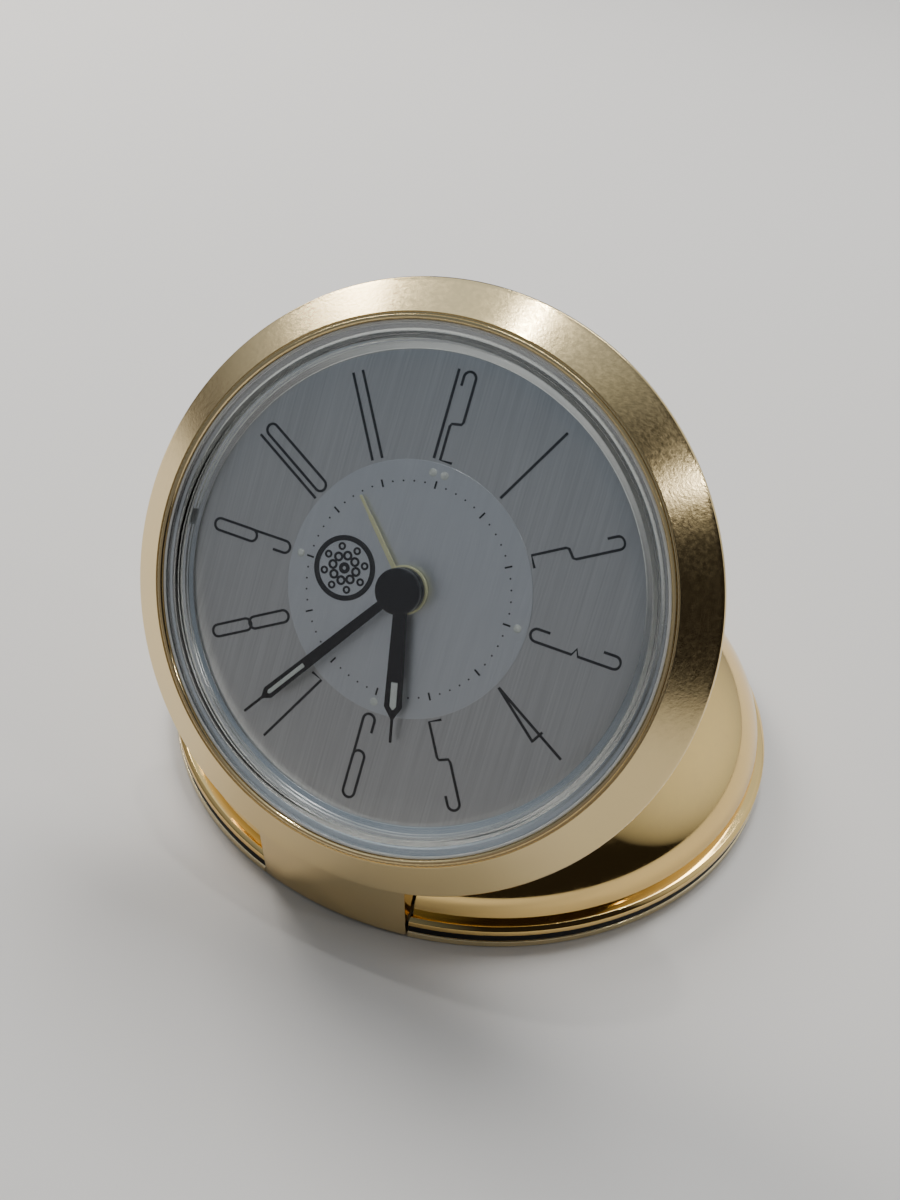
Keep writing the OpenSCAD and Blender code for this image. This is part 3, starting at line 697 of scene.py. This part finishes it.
def at_dial_angle(mesh, angle):
    """Turns what points at 12 clockwise to an angle."""
    return moved(mesh, turn=-angle)


dots = []
for offset, angle in ((-0.65, 0), (0.65, 0), (0, 90), (0, 180), (0, 270)):
    drop = [(0.42 * math.cos(math.pi / 2 * k / 8), 0.15 * math.sin(math.pi / 2 * k / 8))
            for k in range(8)]
    dot = lathe([(0, 0)] + drop + [(0, 0.15)], 40)
    dots.append(at_dial_angle(moved(dot, offset, 12.35, FACE_Z), angle))
piece("lume_drops", merged(*dots), "head", "lume", ["lume_dots"], weighted=False)


# ---- Hands ----

def plate(outlines, low, high, bevel):
    """Flat sheet with holes: a filled outline with a rounded edge."""
    curve = bpy.data.curves.new("outline", "CURVE")
    curve.dimensions = "2D"
    curve.fill_mode = "BOTH"
    curve.extrude = (high - low) / 2 - bevel
    curve.bevel_depth = bevel
    curve.bevel_resolution = 2
    curve.offset = -bevel
    for outline in outlines:
        spline = curve.splines.new("POLY")
        spline.points.add(len(outline) - 1)
        for point, (x, y) in zip(spline.points, outline):
            point.co = (x, y, 0, 1)
        spline.use_cyclic_u = True
    holder = bpy.data.objects.new("outline", curve)
    bpy.context.scene.collection.objects.link(holder)
    shape = holder.evaluated_get(bpy.context.evaluated_depsgraph_get()).to_mesh()
    mesh = bmesh.new()
    mesh.from_mesh(shape)
    bpy.data.objects.remove(holder)
    bpy.data.curves.remove(curve)
    bmesh.ops.remove_doubles(mesh, verts=mesh.verts, dist=1e-4)
    bmesh.ops.recalc_face_normals(mesh, faces=mesh.faces)
    return moved(mesh, z=(low + high) / 2)


def slot_outline(width, start, end):
    """Outline of a lume window: square at the hub's side and pointed at the tip's."""
    half = width / 2
    return rounded([(-half, start, 0.04), (half, start, 0.04), (half, end - half, 0.08),
                    (0.06, end, 0.04), (-0.06, end, 0.04), (-half, end - half, 0.08)], 3)


def blade_outline(width, wide, shoulder, tip, tip_width):
    """Outline of a hand that widens from the hub to its shoulder and narrows to a thin tip."""
    neck = shoulder + 0.75 * (wide - tip_width)
    return rounded([(width / 2, 1.2, 0), (wide / 2, shoulder, 0.3), (tip_width / 2, neck, 0.6),
                    (tip_width / 2, tip, 0.06), (-tip_width / 2, tip, 0.06),
                    (-tip_width / 2, neck, 0.6), (-wide / 2, shoulder, 0.3),
                    (-width / 2, 1.2, 0)], 3)


def hub(hole, radius, low, high, lip=0.18):
    return lathe(rounded([(hole, low, 0), (radius, low, 0.1), (radius, high, lip),
                          (hole, high, 0.04)]), 96)


minute_blade = plate([blade_outline(0.95, 1.35, 18.5, 22.0, 0.28), slot_outline(0.46, 13.2, 18.5)],
                     2.25, 2.45, 0.05)
cap = lathe(rounded([(0, 2.0, 0), (0.7, 2.0, 0), (0.7, 2.9, 0.08), (0, 2.9, 0)]), 64)
minute_hub = merged(hub(0.7, 2.4, 1.9, 2.86, 0.22), cap)
piece("minute_hand_body", at_dial_angle(merged(minute_hub, minute_blade), MINUTE_AT), "minute",
      "hand_black", ["minute_hand"])
minute_fill = plate([slot_outline(0.44, 13.21, 18.49)], 2.27, 2.42, 0.03)
piece("minute_hand_lume", at_dial_angle(minute_fill, MINUTE_AT), "minute", "lume",
      ["minute_lume"])

hour_blade = plate([blade_outline(1.45, 1.95, 12.1, 15.8, 0.28), slot_outline(0.74, 9.5, 12.4)],
                   1.15, 1.35, 0.05)
piece("hour_hand_body", at_dial_angle(merged(hub(1.1, 2.4, 0.95, 1.8), hour_blade), HOUR_AT),
      "hour", "hand_black", ["hour_hand"])
hour_fill = plate([slot_outline(0.72, 9.51, 12.39)], 1.17, 1.32, 0.03)
piece("hour_hand_lume", at_dial_angle(hour_fill, HOUR_AT), "hour", "lume", ["hour_lume"])

alarm_blade = plate([blade_outline(0.5, 0.42, 8.4, 10.8, 0.3)], 0.5, 0.7, 0.05)
piece("alarm_hand_body", at_dial_angle(merged(hub(1.51, 2.55, 0.4, 0.8, 0.1), alarm_blade),
                                       ALARM_AT), "alarm", "alarm_gold", ["alarm_hand"])


# ---- Clock head: back ----

case = lathe(rounded([
    (30.6, -0.95, 0.1), (30.3, -1.9, 0.3), (28.9, -3.3, 0.5), (17.2, -10.0, 0.5),
    (16.0, BACK_Z, 0.4), (0, BACK_Z, 0), (0, BACK_Z + BACK_WALL, 0), (15.4, BACK_Z + BACK_WALL, 0),
    (27.4, -3.5, 0), (27.9, -2.65, 0), (29.05, -2.65, 0), (29.05, -0.95, 0)]))
floor_low = BACK_Z - 1
floor_high = BACK_Z + BACK_WALL + 1
case_cuts = [prism(circle(0, HATCH_Y, HATCH_R + 0.1, 128), floor_low, floor_high),
             prism(circle(*SETTING, 0.95), floor_low, floor_high),
             prism(circle(*ALARM_SETTING, 0.95), floor_low, floor_high),
             block(-2.6, 2.6, SWITCH_Y - 1.1, SWITCH_Y + 1.1, floor_low, floor_high, 0.25)]
for angle in SCREW_ANGLES:
    hole = prism(circle(SCREW_RING_R, 0, 0.6), floor_low, floor_high)
    case_cuts.append(moved(hole, turn=angle))
for k in range(-2, 3):
    case_cuts.append(prism(circle(1.5 * k, -6.9, 0.4, 40), floor_low, floor_high))
piece("back_shell", combined(case, merged(*case_cuts)), "head", "case_plastic", ["back_case"])

screws = []
for angle in SCREW_ANGLES:
    screw_line = [(0, BACK_Z - 0.45, 0), (1.1, BACK_Z - 0.45, 0.14), (1.1, BACK_Z, 0.03),
                  (0.55, BACK_Z, 0), (0.55, BACK_Z + 3.0, 0.1), (0, BACK_Z + 3.0, 0)]
    screw = lathe(rounded(screw_line), 64)
    slit = block(-1.5, 1.5, -0.15, 0.15, BACK_Z - 1, BACK_Z - 0.25)
    turned = moved(combined(screw, slit), turn=37 + angle * 2)
    screws.append(moved(moved(turned, SCREW_RING_R), turn=angle))
piece("back_screws", merged(*screws), "head", "steel", ["case_screws"])

hatch_line = [(0, BACK_Z, 0), (HATCH_R, BACK_Z, 0.2), (HATCH_R, BACK_Z + BACK_WALL, 0.05),
              (HATCH_R - 0.9, BACK_Z + BACK_WALL, 0), (HATCH_R - 0.9, BACK_Z + 1.0, 0.02),
              (0, BACK_Z + 1.0, 0)]
hatch = lathe(rounded(hatch_line), 160)
coin_slot = block(-4.5, 4.5, -0.6, 0.6, BACK_Z - 1, BACK_Z + 0.5, 0.55)
piece("hatch_disc", moved(combined(hatch, coin_slot), y=HATCH_Y), "hatch", "case_plastic",
      ["battery_hatch"])


def knob(x, y):
    """Fluted setting knob with a dished face."""
    low = BACK_Z - 1.0
    line = [(0, low + 0.2, 0), (1.5, low + 0.2, 0.3), (KNOB_R - 0.9, low, 0.2),
            (KNOB_R, low, 0.22), (KNOB_R, BACK_Z - 0.06, 0.1), (0.4, BACK_Z - 0.06, 0),
            (0.4, low + 0.4, 0), (0, low + 0.4, 0)]
    body = lathe(rounded(line), 144)
    flutes = [moved(prism(circle(KNOB_R + 0.12, 0, 0.3, 24), low - 1, BACK_Z + 1), turn=20 * k)
              for k in range(18)]
    return moved(combined(body, merged(*flutes)), x, y)


piece("time_knob_body", knob(*SETTING), "time_setting", "black_plastic", ["time_knob"])
piece("alarm_knob_body", knob(*ALARM_SETTING), "alarm_setting", "black_plastic", ["alarm_knob"])

tab = block(SWITCH_X - 1.2, SWITCH_X + 1.2, SWITCH_Y - 0.95, SWITCH_Y + 0.95, BACK_Z - 0.9,
            BACK_Z + BACK_WALL + 0.1, 0.2, 0.12)
for k in range(-1, 2):
    middle = SWITCH_X + 0.7 * k
    groove = block(middle - 0.15, middle + 0.15, SWITCH_Y - 2, SWITCH_Y + 2,
                   BACK_Z - 2, BACK_Z - 0.7)
    tab = combined(tab, groove)
slide = block(SWITCH_X - 2.9, SWITCH_X + 2.9, SWITCH_Y - 1.4, SWITCH_Y + 1.4,
              BACK_Z + BACK_WALL + 0.05, BACK_Z + BACK_WALL + 0.4, 0.2)
piece("alarm_switch_body", combined(tab, slide, "UNION"), "alarm_slide", "black_plastic",
      ["alarm_switch"])


# ---- Floor, light and camera ----

floor_mesh = bmesh.new()
for x, y in ((-1, -1), (1, -1), (1, 1), (-1, 1)):
    floor_mesh.verts.new((x * FLOOR_HALF, y * FLOOR_HALF, 0))
floor_mesh.faces.new(floor_mesh.verts)
floor_data = bpy.data.meshes.new("floor")
floor_mesh.to_mesh(floor_data)
floor_mesh.free()
floor_material, floor_tree, floor_shader = new_material("floor_pale")
floor_shader.inputs["Base Color"].default_value = (0.66, 0.63, 0.59, 1)
floor_shader.inputs["Roughness"].default_value = 0.7
floor_data.materials.append(floor_material)
floor = bpy.data.objects.new("floor", floor_data)
bpy.context.scene.collection.objects.link(floor)

world = bpy.data.worlds.new("studio")
bpy.context.scene.world = world
world.use_nodes = True
sky = world.node_tree
direction = node(sky, "TexCoord").outputs["Generated"]


def glow(aim, edge, power, colour):
    """Soft bright patch of the studio. edge is the cosine at which it has faded out."""
    aimed = node(sky, "VectorMath", [(0, direction), (1, Vector(aim).normalized())],
                 operation="DOT_PRODUCT").outputs["Value"]
    lit = arithmetic(sky, "POWER", remap(sky, aimed, edge, 1.0, 0.0, 1.0), power)
    made = node(sky, "VectorMath", [(0, colour), ("Scale", lit)], operation="SCALE")
    return made.outputs["Vector"]


# Overhead at the back left, back right, far left, and cool over warm in front of the dial
patches = [glow((-0.45, 0.32, 0.82), 0.48, 1.3, (1.22, 1.34, 1.50)),
           glow((0.60, 0.66, 0.44), 0.72, 0.7, (1.30, 1.36, 1.40)),
           glow((-0.96, 0.15, 0.05), 0.60, 1.0, (0.12, 0.11, 0.10)),
           glow((-0.30, -0.78, 0.55), 0.72, 1.0, (0.22, 0.28, 0.36)),
           glow((-0.25, -0.96, 0.02), 0.80, 1.0, (0.17, 0.115, 0.075))]
# The dark room adds a little everywhere
total = (0.030, 0.027, 0.025)
for patch in patches:
    total = node(sky, "VectorMath", [(0, total), (1, patch)], operation="ADD").outputs["Vector"]
background = sky.nodes["Background"]
sky.links.new(total, background.inputs["Color"])
background.inputs["Strength"].default_value = 0.62


def lamp(name, place, size, power, colour=(1, 1, 1)):
    """Softbox that faces the clock."""
    aim = (0, -0.02, 0.03)
    data = bpy.data.lights.new(name, "AREA")
    data.shape = "RECTANGLE"
    data.size, data.size_y = size
    data.energy = power
    data.color = colour
    made = bpy.data.objects.new(name, data)
    bpy.context.scene.collection.objects.link(made)
    made.location = place
    made.rotation_euler = (Vector(aim) - Vector(place)).to_track_quat("-Z", "Y").to_euler()


lamp("key_left", (-0.50, 0.30, 0.42), (0.26, 0.30), 3.6, (1.0, 0.97, 0.93))
lamp("top_back", (0.02, 0.42, 0.62), (0.40, 0.20), 3.6, (0.96, 0.98, 1.0))
lamp("spark_top", (-0.06, 0.10, 0.60), (0.02, 0.02), 0.30)
lamp("spark_right", (0.44, -0.02, 0.46), (0.02, 0.02), 0.16)

# The camera's own directions, from how far it stands round, above and tipped
azimuth = math.radians(24.14)
elevation = math.radians(36.06)
roll = math.radians(3.98)
distance = 168.6 * MM
slide_right = -10.45 * MM
slide_up = 21.86 * MM
back = Vector((math.sin(azimuth) * math.cos(elevation), -math.cos(azimuth) * math.cos(elevation),
               math.sin(elevation)))
level = Vector((math.cos(azimuth), math.sin(azimuth), 0))
upright = back.cross(level)
camera_right = level * math.cos(roll) + upright * math.sin(roll)
camera_up = upright * math.cos(roll) - level * math.sin(roll)
camera_data = bpy.data.cameras.new("camera")
camera_data.sensor_fit = "HORIZONTAL"
camera_data.sensor_width = 36.0
camera_data.lens = 50.28
camera_data.shift_x = 60 / 900
camera_data.shift_y = -60 / 900
camera_data.clip_start = 0.01
camera_data.clip_end = 20.0
camera = bpy.data.objects.new("camera", camera_data)
bpy.context.scene.collection.objects.link(camera)
turned_camera = Matrix((camera_right, camera_up, back)).transposed().to_4x4()
turned_camera.translation = back * distance + camera_right * slide_right + camera_up * slide_up
camera.matrix_world = turned_camera
bpy.context.scene.camera = camera
